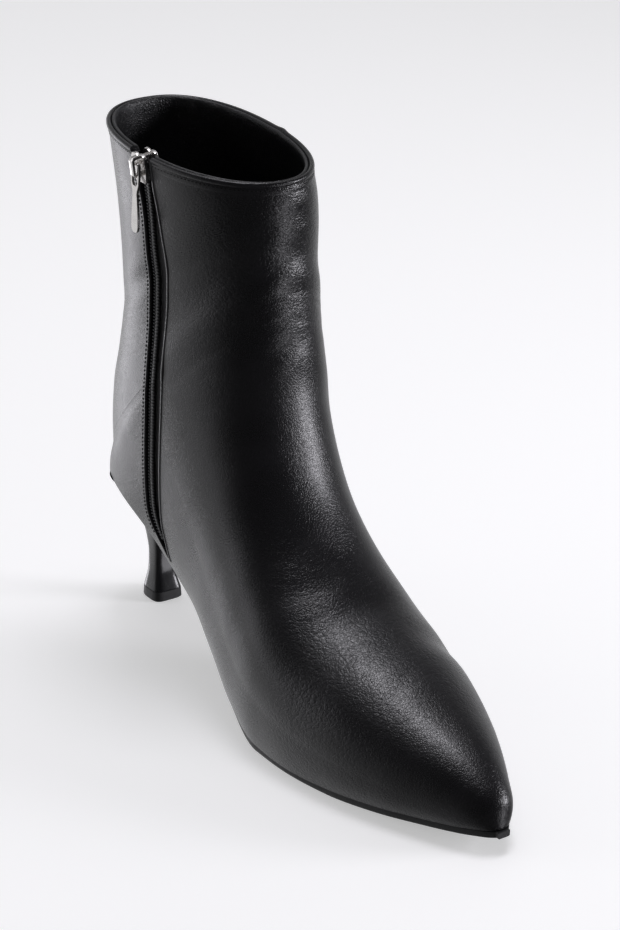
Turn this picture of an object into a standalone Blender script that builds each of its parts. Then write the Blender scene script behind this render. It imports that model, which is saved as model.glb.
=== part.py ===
"""A woman's left ankle boot with a pointed toe, an inside zip and a flared stiletto heel.

Sizes are in millimetres and are turned into metres where a mesh is made. The toe points to -Y,
the outer side of the foot to +X and the zip side to -X. "Forward" is measured along the foot
from the back of the heel seat, and "height" from the floor.
"""
import math
from collections import namedtuple

import bmesh
import bpy
import numpy as np
from mathutils import Matrix, Vector

MM = 0.001

# driving dimensions of the last, a European size 38
LENGTH = 247.0
BALL_WIDTH = 80.0
INSTEP_HEIGHT = 110.0
SEAT_HEIGHT = 60.0
TOE_SWING = -4.5

# leather, boards and clearances
WALL = 1.8
TIP_WALL = 0.9
COLLAR_WALL = 3.0
GAP = 0.3
SOLE = 2.5
INSOLE = 2.2
LASTING_MARGIN = 4.0
OUTSOLE_BACK = 45.4

# where the world's origin lies on the foot: the floor under the middle of the boot's box
ORIGIN_FORWARD = 124.97
ORIGIN_SIDE = -1.54

# Sections of the last from toe tip to collar. Each is a flat cut, leaning like the leaf of a fan,
# from a point of the base line (sole edge, heel back) to a point of the ridge line (toe top,
# instep, shin). Places along the foot are in percent of its length, ridge heights of the instep,
# base heights of the seat, and half widths of the ball width. The belly is where the cut is
# widest, as a share of the way from base to ridge, and the shift moves the ridge inwards, in mm.
Section = namedtuple(
    "Section",
    "ridge_along ridge_up base_along base_up feather_in feather_out wide_in wide_out belly shift",
)
SECTIONS = [
    Section(100.0, 11.0, 100.0, 14.7, 0.0, 0.0, 0.0, 0.0, 0.36, 0.0),
    Section(99.6, 15.5, 99.4, 14.2, 5.0, 5.0, 5.7, 5.7, 0.36, 0.0),
    Section(98.4, 19.0, 97.6, 13.4, 10.0, 9.3, 11.4, 10.3, 0.36, 0.0),
    Section(95.5, 23.4, 94.7, 11.7, 15.6, 14.2, 17.5, 15.1, 0.35, 0.0),
    Section(91.1, 28.3, 89.9, 9.4, 23.1, 21.3, 25.6, 22.6, 0.34, 0.0),
    Section(84.2, 34.1, 83.4, 6.7, 32.5, 30.4, 35.6, 32.6, 0.33, -1.0),
    Section(76.1, 41.0, 75.7, 4.7, 41.3, 39.1, 44.4, 41.1, 0.32, -2.0),
    Section(65.9, 48.5, 67.2, 3.7, 47.5, 45.1, 50.0, 46.9, 0.32, -3.0),
    Section(59.2, 57.7, 58.7, 4.5, 48.8, 47.9, 51.3, 48.2, 0.33, -4.0),
    Section(53.5, 69.7, 49.4, 13.9, 43.8, 45.8, 48.1, 45.2, 0.35, -4.0),
    Section(49.0, 83.0, 40.5, 33.8, 37.5, 39.9, 44.4, 41.0, 0.38, -3.0),
    Section(45.8, 97.2, 32.4, 55.0, 33.7, 35.6, 41.9, 39.6, 0.41, -2.0),
    Section(43.5, 111.7, 24.3, 74.0, 33.7, 35.2, 40.7, 40.3, 0.43, -1.0),
    Section(42.3, 124.2, 16.2, 90.5, 35.0, 36.2, 40.0, 42.6, 0.46, 0.0),
    Section(41.6, 133.0, 8.1, 98.5, 31.2, 33.4, 39.4, 43.9, 0.50, 0.0),
    Section(41.3, 137.0, 3.5, 100.5, 24.0, 26.9, 39.1, 44.3, 0.52, 0.0),
    Section(41.1, 140.5, 1.4, 101.2, 10.7, 10.7, 38.9, 44.6, 0.54, 0.0),
    Section(41.0, 143.5, 1.0, 101.5, 0.0, 0.0, 38.7, 44.8, 0.55, 0.0),
    Section(40.8, 148.0, 0.5, 125.0, 0.0, 0.0, 37.4, 45.0, 0.53, 0.0),
    Section(40.6, 153.0, 0.7, 150.0, 0.0, 0.0, 36.0, 44.3, 0.51, 0.0),
    Section(40.5, 158.0, 2.3, 180.0, 0.0, 0.0, 35.0, 43.1, 0.50, 0.0),
    Section(40.6, 163.8, 3.9, 213.0, 0.0, 0.0, 34.9, 41.8, 0.49, 0.0),
    Section(40.7, 169.7, 4.1, 250.0, 0.0, 0.0, 36.9, 41.0, 0.50, 0.0),
    Section(40.8, 175.7, 3.3, 297.0, 0.0, 0.0, 39.0, 39.4, 0.50, 0.0),
    Section(40.4, 183.5, 1.9, 350.1, 0.0, 0.0, 42.8, 36.2, 0.50, 0.0),
]
SEAT_BACK = 17
COLLAR = len(SECTIONS) - 1
UPPER_ROUND = 2.1
LOWER_ROUND = 2.3
ROWS_PER_SECTION = 2
COLUMNS_PER_SIDE = 12
EASE_REACH = 20.0
EASE_SPREAD = 6.5

# side-view line of the zip and, on the outer side, of the seam: it leans back above the ankle
# and bends forwards at its foot
LINE_FORWARD = 57.7
LINE_FOOT_HEIGHT = 45.0
LINE_BEND = 9.3
LINE_BEND_LENGTH = 18.0
LINE_LEAN = 2.4
LINE_LEAN_START = 100.0
LINE_LEAN_LENGTH = 45.0
SLOT_REAR = 3.2
SLOT_FRONT = 8.0
SLOT_FOOT_HEIGHT = 45.5
SLOT_FOOT_LENGTH = 12.0
SLOT_FOOT_AHEAD = 1.0
FOOT_SLANT = -0.43
SLIDER_FOOT_HEIGHT = 195.0
SLIDER_TOP_HEIGHT = 206.0
SLIDER_HALF = 4.4


def scale_of(name):
    """What a column's percentages are measured in, in millimetres for one percent."""
    if name.endswith("along"):
        return LENGTH / 100
    if name == "ridge_up":
        return INSTEP_HEIGHT / 100
    if name == "base_up":
        return SEAT_HEIGHT / 100
    return BALL_WIDTH / 100 if name.startswith(("feather", "wide")) else 1.0


def smooth_through(values, first):
    """A smooth curve through values at the whole numbers from first on, that never overshoots."""
    steps = np.diff(values)
    slopes = np.concatenate([steps[:1], (steps[:-1] + steps[1:]) / 2, steps[-1:]])
    flattest = 3 * np.minimum(abs(steps[:-1]), abs(steps[1:]))
    slopes[1:-1] = np.clip(slopes[1:-1], -flattest, flattest)
    slopes[1:-1][steps[:-1] * steps[1:] <= 0] = 0.0

    def at(place):
        i = np.clip(np.floor(np.asarray(place) - first).astype(int), 0, len(steps) - 1)
        u = np.asarray(place) - first - i
        turn = (1 - u) ** 2 * u * slopes[i] - (1 - u) * u**2 * slopes[i + 1]
        return values[i] + (3 - 2 * u) * u**2 * steps[i] + turn

    return at


def column_curve(name):
    """One column of the sections as a smooth curve; the toe tip and the seat's back are mirrored."""
    values = np.array([getattr(section, name) for section in SECTIONS]) * scale_of(name)
    ahead = values[2:0:-1]
    if name.startswith(("feather", "wide")):
        ahead = -ahead
    elif name.endswith("up"):
        ahead = 2 * values[0] - ahead
    if name.startswith("feather"):
        values = np.concatenate([values[:SEAT_BACK + 1], -values[SEAT_BACK - 1:SEAT_BACK - 3:-1]])
    return smooth_through(np.concatenate([ahead, values]), -2)


CURVES = {name: column_curve(name) for name in Section._fields}


def section_at(place):
    """The section at a place between the rows, in millimetres."""
    found = {name: curve(place) for name, curve in CURVES.items()}
    for name in ("feather_in", "feather_out"):
        found[name] = np.where(place < SEAT_BACK, np.maximum(found[name], 0.0), 0.0)
    return Section(**found)


def swing(forward):
    """How far the toe turns towards the other foot."""
    return TOE_SWING * max((forward - 120.0) / (LENGTH - 120.0), 0.0) ** 2


def half_width(section, share, side):
    """Half width of a section at a share of the way from base to ridge."""
    wide = section.wide_in if side < 0 else section.wide_out
    feather = section.feather_in if side < 0 else section.feather_out
    wide = max(wide, 1e-6)
    if share >= section.belly:
        rise = (share - section.belly) / (1 - section.belly)
        return wide * max(1 - rise**UPPER_ROUND, 0.0) ** (1 / UPPER_ROUND)
    depth = section.belly / (1 - min(feather / wide, 0.98) ** LOWER_ROUND) ** (1 / LOWER_ROUND)
    return wide * max(1 - ((section.belly - share) / depth) ** LOWER_ROUND, 0.0) ** (1 / LOWER_ROUND)


def skin_point(section, share, side):
    """A point of the last's surface as side, forward and height."""
    lift = max((share - section.belly) / (1 - section.belly), 0.0)
    forward = section.base_along + share * (section.ridge_along - section.base_along)
    height = section.base_up + share * (section.ridge_up - section.base_up)
    across = side * half_width(section, share, side) + section.shift * lift + swing(forward)
    return np.array([across, forward, height])


def section_shares(section, side):
    """Shares from ridge to sole edge at even turns of the section's curve."""
    wide = max(section.wide_in if side < 0 else section.wide_out, 1e-6)
    feather = section.feather_in if side < 0 else section.feather_out
    turn = math.acos(min(feather / wide, 0.98) ** (LOWER_ROUND / 2))
    depth = section.belly / math.sin(turn) ** (2 / LOWER_ROUND)
    shares = []
    for angle in np.linspace(math.pi / 2, -turn, COLUMNS_PER_SIDE + 1):
        if angle >= 0:
            rise = math.sin(angle) ** (2 / UPPER_ROUND)
            shares.append(section.belly + (1 - section.belly) * rise)
        else:
            shares.append(section.belly - depth * abs(math.sin(angle)) ** (2 / LOWER_ROUND))
    shares[-1] = 0.0
    return shares


FINE_PLACES = np.linspace(0, COLLAR, 700)
FINE = section_at(FINE_PLACES)
FOOT_PART = FINE_PLACES <= SEAT_BACK


def base_height(forward, lift=0.0):
    """Height of the last's bottom at a place along the foot, lifted square to its slope."""
    along, up = FINE.base_along[FOOT_PART][::-1], FINE.base_up[FOOT_PART][::-1]
    slope = (np.interp(forward + 1, along, up) - np.interp(forward - 1, along, up)) / 2
    return float(np.interp(forward, along, up)) + lift * math.hypot(1, slope)


def sole_edge(place, side, inset):
    """A point of the sole's edge line, moved inwards in plan, as side and forward."""
    step = 0.02
    ends = []
    for at in (max(place - step, 0.0), min(place + step, SEAT_BACK)):
        section = section_at(at)
        feather = float(section.feather_in if side < 0 else section.feather_out)
        ends.append(np.array([side * feather + swing(section.base_along), section.base_along]))
    along = ends[1] - ends[0]
    along /= np.hypot(*along)
    inwards = np.array([along[1], -along[0]]) * side
    return (ends[0] + ends[1]) / 2 + inset * inwards


def wall_point(side, forward, height, outwards=0.0):
    """The point of the upper's face at a side-view place, moved outwards along its normal."""

    def face(along, up):
        leaf = (FINE.ridge_along - FINE.base_along, FINE.ridge_up - FINE.base_up)
        turn = leaf[0] * (up - FINE.base_up) - leaf[1] * (along - FINE.base_along)
        crossing = np.nonzero((turn[:-1] > 0) & (turn[1:] <= 0))[0]
        if not len(crossing):
            section = section_at(float(COLLAR))
            share = (along - section.base_along) / (section.ridge_along - section.base_along)
            return skin_point(section, share, side)[0]
        i = crossing[-1]
        step = turn[i] / (turn[i] - turn[i + 1])
        section = section_at(float(FINE_PLACES[i] + step * (FINE_PLACES[i + 1] - FINE_PLACES[i])))
        share = (up - section.base_up) / (section.ridge_up - section.base_up)
        if abs(section.ridge_up - section.base_up) < abs(section.ridge_along - section.base_along):
            share = (along - section.base_along) / (section.ridge_along - section.base_along)
        return skin_point(section, share, side)[0]

    across = face(forward, height)
    slope_forward = (face(forward + 1, height) - face(forward - 1, height)) / 2
    slope_up = (face(forward, height + 1) - face(forward, height - 1)) / 2
    normal = np.array([1.0, -slope_forward, -slope_up]) * side
    normal /= np.linalg.norm(normal)
    return np.array([across, forward, height]) + outwards * normal


def line_forward(height):
    """Forward place of the zip's middle, and of the outer seam, at a height."""
    into_bend = max(1 - (height - LINE_FOOT_HEIGHT) / LINE_BEND_LENGTH, 0.0)
    into_lean = min(max((height - LINE_LEAN_START) / LINE_LEAN_LENGTH, 0.0), 1.0)
    lean = LINE_LEAN * (3 - 2 * into_lean) * into_lean**2
    return LINE_FORWARD + LINE_BEND * into_bend**2 - lean


def world(point):
    """Side, forward and height in millimetres as a world place in metres."""
    across, forward, height = point
    return Vector(((across - ORIGIN_SIDE) * MM, (ORIGIN_FORWARD - forward) * MM, height * MM))


def material(name, colour, roughness, metallic=0.0):
    made = bpy.data.materials.new(name)
    made.use_nodes = True
    shader = made.node_tree.nodes["Principled BSDF"]
    shader.inputs["Base Color"].default_value = (*colour, 1.0)
    shader.inputs["Roughness"].default_value = roughness
    shader.inputs["Metallic"].default_value = metallic
    return made


def new_object(name, shape, finish, collection, sharp=35.0):
    """Welds a shape, turns its faces outwards and makes it an object."""
    bmesh.ops.remove_doubles(shape, verts=shape.verts, dist=0.02 * MM)
    bmesh.ops.dissolve_degenerate(shape, edges=shape.edges, dist=0.02 * MM)
    bmesh.ops.recalc_face_normals(shape, faces=shape.faces)
    if shape.calc_volume(signed=True) < 0:
        bmesh.ops.reverse_faces(shape, faces=shape.faces)
    mesh = bpy.data.meshes.new(name)
    shape.to_mesh(mesh)
    shape.free()
    if finish:
        mesh.materials.append(finish)
    mesh.shade_smooth()
    mesh.set_sharp_from_angle(angle=math.radians(sharp))
    made = bpy.data.objects.new(name, mesh)
    collection.objects.link(made)
    return made


def loft(name, rings, finish, collection):
    """A closed solid through rings of like points, given as side, forward and height."""
    shape = bmesh.new()
    grid = [[shape.verts.new(world(point)) for point in ring] for ring in rings]
    for low, high in zip(grid, grid[1:]):
        for i in range(len(low)):
            j = (i + 1) % len(low)
            shape.faces.new((low[i], low[j], high[j], high[i]))
    for ring in (grid[0], grid[-1]):
        for i in range(len(ring) // 2 - 1):
            shape.faces.new((ring[i], ring[i + 1], ring[-i - 2], ring[-i - 1]))
    return new_object(name, shape, finish, collection)


def plate(name, outline, faces, finish, collection, parent):
    """A flat plate between two faces of its parent's z, from a filled outline in x and y."""
    drawn = bpy.data.curves.new(name, "CURVE")
    drawn.dimensions = "2D"
    drawn.fill_mode = "BOTH"
    drawn.extrude = (faces[1] - faces[0]) / 2 * MM
    line = drawn.splines.new("POLY")
    line.points.add(len(outline) - 1)
    for point, (x, y) in zip(line.points, outline):
        point.co = (x * MM, y * MM, 0.0, 1.0)
    line.use_cyclic_u = True
    guide = bpy.data.objects.new(name + " outline", drawn)
    collection.objects.link(guide)
    seen = guide.evaluated_get(bpy.context.evaluated_depsgraph_get())
    mesh = bpy.data.meshes.new_from_object(seen)
    bpy.data.objects.remove(guide)
    shape = bmesh.new()
    shape.from_mesh(mesh)
    bpy.data.meshes.remove(mesh)
    made = new_object(name, shape, finish, collection)
    made.parent = parent
    made.location = (0.0, 0.0, (faces[0] + faces[1]) / 2 * MM)
    return made


def cut(target, cutter):
    """Takes the cutter's volume out of the target."""
    cutter.hide_render = True
    cutter.display_type = "WIRE"
    cutter.modifiers.new("triangles", "TRIANGULATE")
    cutting = target.modifiers.new("cut " + cutter.name, "BOOLEAN")
    cutting.operation = "DIFFERENCE"
    cutting.object = cutter


def ease(places, skin):
    """Rounds the skin along its columns near the row where the leaves turn at the heel's back."""
    turn_row = int(np.argmin(abs(places - SEAT_BACK)))
    eased = skin.copy()
    for column in range(skin.shape[1]):
        line = skin[:, column]
        along = np.concatenate([[0.0], np.cumsum(np.linalg.norm(np.diff(line, axis=0), axis=1))])
        along -= along[turn_row]
        off_base = 1 - column / (skin.shape[1] - 1)
        near = np.clip(1 - abs(along) / EASE_REACH, 0.0, 1.0)
        spread = EASE_SPREAD * min(max((off_base - 0.02) / 0.12, 0.0), 1.0) * near**2 * (3 - 2 * near)
        for row in np.nonzero(spread > 0.05)[0]:
            weights = np.exp(-0.5 * ((along - along[row]) / spread[row]) ** 2)
            weights *= np.gradient(along) + 1e-6
            eased[row, column] = weights @ line / weights.sum()
    return eased


def add_upper(leather, boot, cutters):
    """The leather upper: a shell round the last, turned in under its edge, open at the collar."""
    near_collar = (COLLAR - 0.28, COLLAR - 0.12)
    places = np.array(sorted([i / ROWS_PER_SECTION for i in range(COLLAR * ROWS_PER_SECTION + 1)]
                             + list(near_collar)))
    shape = bmesh.new()
    wall_share = shape.verts.layers.deform.verify()
    for side in (-1, 1):
        skin = []
        for place in places:
            section = Section(*(float(value) for value in section_at(place)))
            skin.append([skin_point(section, share, side) for share in section_shares(section, side)])
        grid = []
        for place, row in zip(places, ease(places, np.array(skin))):
            row = list(row)
            if place <= SEAT_BACK:
                across, forward = sole_edge(place, side, LASTING_MARGIN)
                row.append(np.array([across, forward, base_height(forward)]))
            wall = np.interp(place, (0, 3, *near_collar), (TIP_WALL, WALL, WALL, COLLAR_WALL))
            verts = []
            for point in row:
                vert = shape.verts.new(world(point))
                vert[wall_share][0] = wall / COLLAR_WALL
                verts.append(vert)
            grid.append(verts)
        for low, high in zip(grid, grid[1:]):
            for i in range(min(len(low), len(high)) - 1):
                shape.faces.new((low[i], low[i + 1], high[i + 1], high[i]))
    upper = new_object("upper", shape, leather, boot)
    upper.vertex_groups.new(name="wall share")
    thickness = upper.modifiers.new("wall", "SOLIDIFY")
    thickness.thickness = COLLAR_WALL * MM
    thickness.offset = -1.0
    thickness.use_even_offset = True
    thickness.vertex_group = "wall share"
    upper.modifiers.new("triangles", "TRIANGULATE")
    cut(upper, add_slot_cutter(cutters))
    cut(upper, add_seam_cutter(cutters))


def slot_edges(height):
    """Rear and front edge of the slot off the zip's middle: wide at the slider, a V at the foot."""
    up = min(max((height - SLIDER_FOOT_HEIGHT + 25) / 23, 0.0), 1.0)
    down = min(max(1 - (height - SLOT_FOOT_HEIGHT) / SLOT_FOOT_LENGTH, 0.0), 1.0) ** 2
    rear = SLOT_REAR + (SLIDER_HALF + 0.5 - SLOT_REAR) * up**3
    front = SLOT_FRONT + (SLIDER_HALF + 0.6 - SLOT_FRONT) * up
    rear = -rear + (rear + SLOT_FOOT_AHEAD - 0.5) * down
    front = front + (SLOT_FOOT_AHEAD + 0.5 - front) * down
    return rear, front


def strip_ring(height, side, edges, faces):
    """A ring of a strip on the wall, slanting with the sole's edge near its foot."""
    slant = FOOT_SLANT * max(1 - (height - LINE_FOOT_HEIGHT) / 25, 0.0)
    places = [(line_forward(height) + edge, height + slant * edge) for edge in edges]
    outer = [wall_point(side, *place, faces[0]) for place in places]
    inner = [wall_point(side, *place, faces[1]) for place in places[::-1]]
    return outer + inner


def above(ring):
    """The same ring, clear above the collar."""
    return [point + np.array([0.0, 0.0, 20.0]) for point in ring]


def add_slot_cutter(cutters):
    """The zip's slot, from above the collar down to the waist."""
    rings = []
    foot = np.linspace(SLOT_FOOT_HEIGHT, SLOT_FOOT_HEIGHT + SLOT_FOOT_LENGTH, 7)
    for height in (*foot, *np.linspace(65.0, 170.0, 14), *np.linspace(176.0, 200.0, 7)):
        rear, front = slot_edges(height)
        rings.append(strip_ring(height, -1, (rear, (rear + front) / 2, front), (5.0, -7.0)))
    return loft("slot cutter", rings + [above(rings[-1])], None, cutters)


def add_seam_cutter(cutters):
    """The groove of the closed seam down the outer side."""
    heights = np.linspace(50.0, 200.0, 22)
    rings = [strip_ring(height, 1, (-0.45, 0.45), (1.5, -0.75)) for height in heights]
    return loft("seam cutter", rings + [above(rings[-1])], None, cutters)


def add_insole(board, boot):
    """The insole board, inside the shell and on its turned-in margin."""
    rings = []
    inset = WALL + 1.4
    for place in np.arange(0, SEAT_BACK + 1e-9, 1 / ROWS_PER_SECTION):
        ring = []
        for side, lift in ((-1, 0.0), (1, 0.0), (1, INSOLE), (-1, INSOLE)):
            across, forward = sole_edge(place, side, inset)
            ring.append((across, forward, base_height(forward, WALL + GAP + lift)))
        rings.append(ring)
    loft("insole", rings, board, boot)


def add_outsole(rubber, boot):
    """The thin outsole, flat under the ball, from its squared tip to the front of the heel."""
    tip_half, tip_reach, tip_edge, recess, chamfer = 2.6, 0.9, 0.6, 0.3, 0.5
    breast = float(np.interp(-OUTSOLE_BACK, -FINE.base_along[FOOT_PART], FINE_PLACES[FOOT_PART]))
    rings = []
    for place in [*np.arange(0, breast - 0.2, 1 / ROWS_PER_SECTION), breast]:
        waist = min(max((place - 8.0) / 3.0, 0.0), 1.0)
        upper_row, lower_row = [], []
        for side in (-1, 1):
            edge = tip_edge * max(1 - place / 3, 0.0) - recess
            across, forward = sole_edge(place, side, 2.0 * waist - edge)
            middle = swing(forward)
            across = middle + side * max(abs(across - middle), tip_half)
            forward += tip_reach * max(1 - place, 0.0)
            top = base_height(min(forward, LENGTH), -GAP)
            low = max(top - SOLE, 0.0)
            upper_row.append((across, forward, top))
            lower_row += [(across, forward, low + chamfer), (across - side * chamfer, forward, low)]
        rings.append(upper_row + [lower_row[2], lower_row[3], lower_row[1], lower_row[0]])
    loft("outsole", rings, rubber, boot)


# The heel from seat to top piece: back and front edge along the foot and half width at each height.
HeelLevel = namedtuple("HeelLevel", "height back front half")
HEEL_LEVELS = [
    HeelLevel(None, 4.8, 44.8, 25.2),
    HeelLevel(48.0, 5.8, 34.0, 15.2),
    HeelLevel(42.0, 6.9, 28.5, 10.8),
    HeelLevel(35.0, 8.5, 24.6, 7.7),
    HeelLevel(27.0, 10.2, 21.6, 5.5),
    HeelLevel(19.0, 11.3, 20.8, 4.6),
    HeelLevel(12.0, 11.1, 21.3, 4.9),
    HeelLevel(4.5, 9.6, 24.0, 6.7),
]
LIFT_LEVELS = [
    HeelLevel(4.2, 9.6, 24.0, 6.7),
    HeelLevel(0.0, 9.3, 24.4, 7.0),
]
HEEL_TURNS = 20
HEEL_SEAT_MIDDLE = 21.0


def heel_ring(level):
    """A D-shaped ring, round behind and nearly square at its front; the top one lies on the seat."""
    middle = HEEL_SEAT_MIDDLE if level.height is None else (level.back + level.front) / 2
    ring = []
    for turn in range(HEEL_TURNS):
        angle = 2 * math.pi * (turn + 0.5) / HEEL_TURNS
        front = math.sin(angle) > 0
        squareness = 4.5 if front else 2.1
        reach = level.front - middle if front else middle - level.back
        across = level.half * math.copysign(abs(math.cos(angle)) ** (2 / squareness), math.cos(angle))
        forward = middle + reach * math.copysign(
            abs(math.sin(angle)) ** (2 / squareness), math.sin(angle))
        height = base_height(forward, -GAP) if level.height is None else level.height
        ring.append((across, forward, height))
    return ring[HEEL_TURNS // 4:] + ring[:HEEL_TURNS // 4]


def add_heel(cover, rubber, boot):
    """The covered heel and the hard top piece that it stands on."""
    loft("heel", [heel_ring(level) for level in HEEL_LEVELS], cover, boot)
    loft("heel_top_piece", [heel_ring(level) for level in LIFT_LEVELS], rubber, boot)


# the zip: faces are measured off the upper's outer face, outwards
TAPE_FACE = -2.6
TAPE_BACK = -3.3
TAPE_REAR = 8.0
TAPE_FRONT = 11.5
TAPE_FOOT_HEIGHT = 43.5
TAPE_TOP_HEIGHT = 196.5
CHAIN_HALF = 2.3
CHAIN_FACE = -0.5
CHAIN_FOOT_HEIGHT = 50.5


def add_zip(cloth, coil, boot):
    """The zip's cloth tape behind the slot, and the closed coil chain down its middle."""
    edges = (-TAPE_REAR, -5.0, -2.0, 1.5, 5.0, 8.3, TAPE_FRONT)
    heights = np.linspace(TAPE_FOOT_HEIGHT, TAPE_TOP_HEIGHT, 26)
    rings = [strip_ring(height, -1, edges, (TAPE_FACE, TAPE_BACK)) for height in heights]
    loft("zip_tape", rings, cloth, boot)
    rings = []
    for height in np.linspace(CHAIN_FOOT_HEIGHT, SLIDER_FOOT_HEIGHT - GAP, 30):
        rear, front = slot_edges(height)
        rear, front = max(rear + GAP, -CHAIN_HALF), min(front - GAP, CHAIN_HALF)
        low, high = TAPE_FACE + GAP, CHAIN_FACE
        shoulder = high - 0.5
        profile = (
            (rear, shoulder), (rear + 0.8, high), (front - 0.8, high), (front, shoulder),
            (front, low), (front - 0.8, low), (rear + 0.8, low), (rear, low),
        )
        rings.append([strip_ring(height, -1, (edge,), (face,) * 2)[0] for edge, face in profile])
    loft("zip_teeth", rings, coil, boot)


# the slider and its pull, in a frame whose x points forwards, y up and z off the wall
PLATE_OUT = (0.3, 1.6)
PLATE_IN = (-4.8, -3.6)
HINGE_HEIGHT = 202.6
BAIL_HALF = 1.1
BAIL_FOOT = 197.4
BAIL_TOP = 205.4
BAIL_BAR = 1.0
BAIL_WINDOW = 2.2
PULL_THICKNESS = 1.0
EYE_HALF = 1.6
EYE_LENGTH = 8.4


def add_zip_seat(cutters):
    """An empty on the wall at the hinge's height, to which the slider and the pull are parented."""
    forward = line_forward(HINGE_HEIGHT)
    foot = world(wall_point(-1, forward, HINGE_HEIGHT))
    outwards = world(wall_point(-1, forward, HINGE_HEIGHT, 1.0)) - foot
    outwards.normalize()
    forwards = Vector((0.0, 0.0, 1.0)).cross(outwards)
    forwards.normalize()
    seat = bpy.data.objects.new("zip seat", None)
    cutters.objects.link(seat)
    axes = Matrix((forwards, outwards.cross(forwards), outwards)).transposed()
    seat.matrix_world = Matrix.Translation(foot) @ axes.to_4x4()
    bpy.context.view_layer.update()
    return seat


def join(target, piece):
    """Makes the piece part of the target's solid."""
    piece.hide_render = True
    piece.display_type = "WIRE"
    joining = target.modifiers.new("join " + piece.name, "BOOLEAN")
    joining.operation = "UNION"
    joining.object = piece


def add_slider(metal, boot, cutters, seat):
    """The slider's two plates, the neck between them, and the bail that holds the pull."""
    foot, top = SLIDER_FOOT_HEIGHT - HINGE_HEIGHT, SLIDER_TOP_HEIGHT - HINGE_HEIGHT
    half = SLIDER_HALF
    right = [
        (half * 0.70, foot), (half * 0.82, foot + 0.6), (half, foot + 5.0), (half, top - 2.2),
        (half * 0.86, top - 0.5), (half * 0.66, top), (half * 0.2, top), (0.0, top - 0.7),
    ]
    outline = right + [(-x, y) for x, y in right[-2::-1]]
    slider = plate("zip_slider", outline, PLATE_OUT, metal, boot, seat)
    neck = [(0.0, top - 7.0), (1.5, top - 4.5), (1.1, top - 1.2), (-1.1, top - 1.2), (-1.5, top - 4.5)]
    between = (PLATE_IN[1] - 0.5, PLATE_OUT[0] + 0.5)
    join(slider, plate("slider neck", neck, between, metal, cutters, seat))
    join(slider, plate("inner plate", outline, PLATE_IN, metal, cutters, seat))
    low, high = BAIL_FOOT - HINGE_HEIGHT, BAIL_TOP - HINGE_HEIGHT
    near, far = PLATE_OUT[1] - 0.5, PLATE_OUT[1] + BAIL_WINDOW
    arch = [
        (near, low), (far + 0.2, low), (far + BAIL_BAR, low + 1.2), (far + BAIL_BAR, high - 1.2),
        (far + 0.2, high), (near, high), (near, high - BAIL_BAR), (far, high - BAIL_BAR - 0.3),
        (far, low + BAIL_BAR + 0.3), (near, low + BAIL_BAR),
    ]
    bail = plate("bail", arch, (-BAIL_HALF, BAIL_HALF), metal, cutters, seat)
    bail.rotation_euler = (0.0, -math.pi / 2, 0.0)
    join(slider, bail)


def add_pull(metal, boot, cutters, seat):
    """The pull: a ring round the bail, a waist, and a tab that widens to a rounded end."""
    bar = 1.2
    right = [
        (1.3, 0.6), (2.3, 0.1), (2.7, -1.4), (2.75, -4.8), (2.5, -8.2), (1.6, -10.3), (1.4, -11.4),
        (1.7, -14.0), (2.2, -20.5), (2.2, -24.2), (1.8, -25.7), (0.9, -26.4),
    ]
    outline = right + [(-x, y) for x, y in right[::-1]]
    middle = PLATE_OUT[1] + BAIL_WINDOW / 2
    faces = (middle - PULL_THICKNESS / 2, middle + PULL_THICKNESS / 2)
    pull = plate("zip_pull", outline, faces, metal, boot, seat)
    lean = math.asin(seat.matrix_world.col[2].z)
    pull.rotation_euler = (lean, 0.0, 0.0)
    top, foot = -bar / 2, -EYE_LENGTH
    eye = [(EYE_HALF, top), (EYE_HALF, foot + 1.2), (0.9, foot), (-0.9, foot),
           (-EYE_HALF, foot + 1.2), (-EYE_HALF, top)]
    cutter = plate("eye cutter", eye, (faces[0] - 1, faces[1] + 1), None, cutters, seat)
    cutter.rotation_euler = (lean, 0.0, 0.0)
    cut(pull, cutter)


def main():
    for old in list(bpy.data.objects):
        bpy.data.objects.remove(old)
    boot = bpy.data.collections.new("ankle boot")
    cutters = bpy.data.collections.new("cutters")
    for collection in (boot, cutters):
        bpy.context.scene.collection.children.link(collection)
    leather = material("leather", (0.012, 0.011, 0.013), 0.38)
    board = material("insole lining", (0.02, 0.02, 0.021), 0.7)
    rubber = material("sole rubber", (0.01, 0.01, 0.01), 0.55)
    cover = material("heel cover", (0.008, 0.008, 0.009), 0.2)
    cloth = material("zip cloth", (0.012, 0.012, 0.013), 0.85)
    coil = material("zip coil", (0.015, 0.015, 0.016), 0.4)
    metal = material("polished nickel", (0.55, 0.53, 0.51), 0.15, metallic=1.0)
    add_outsole(rubber, boot)
    add_heel(cover, rubber, boot)
    add_upper(leather, boot, cutters)
    add_insole(board, boot)
    add_zip(cloth, coil, boot)
    seat = add_zip_seat(cutters)
    add_slider(metal, boot, cutters, seat)
    add_pull(metal, boot, cutters, seat)


main()
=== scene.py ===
import math
from collections import namedtuple

import bmesh
import bpy
import numpy as np
from mathutils import Matrix, Vector

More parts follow.
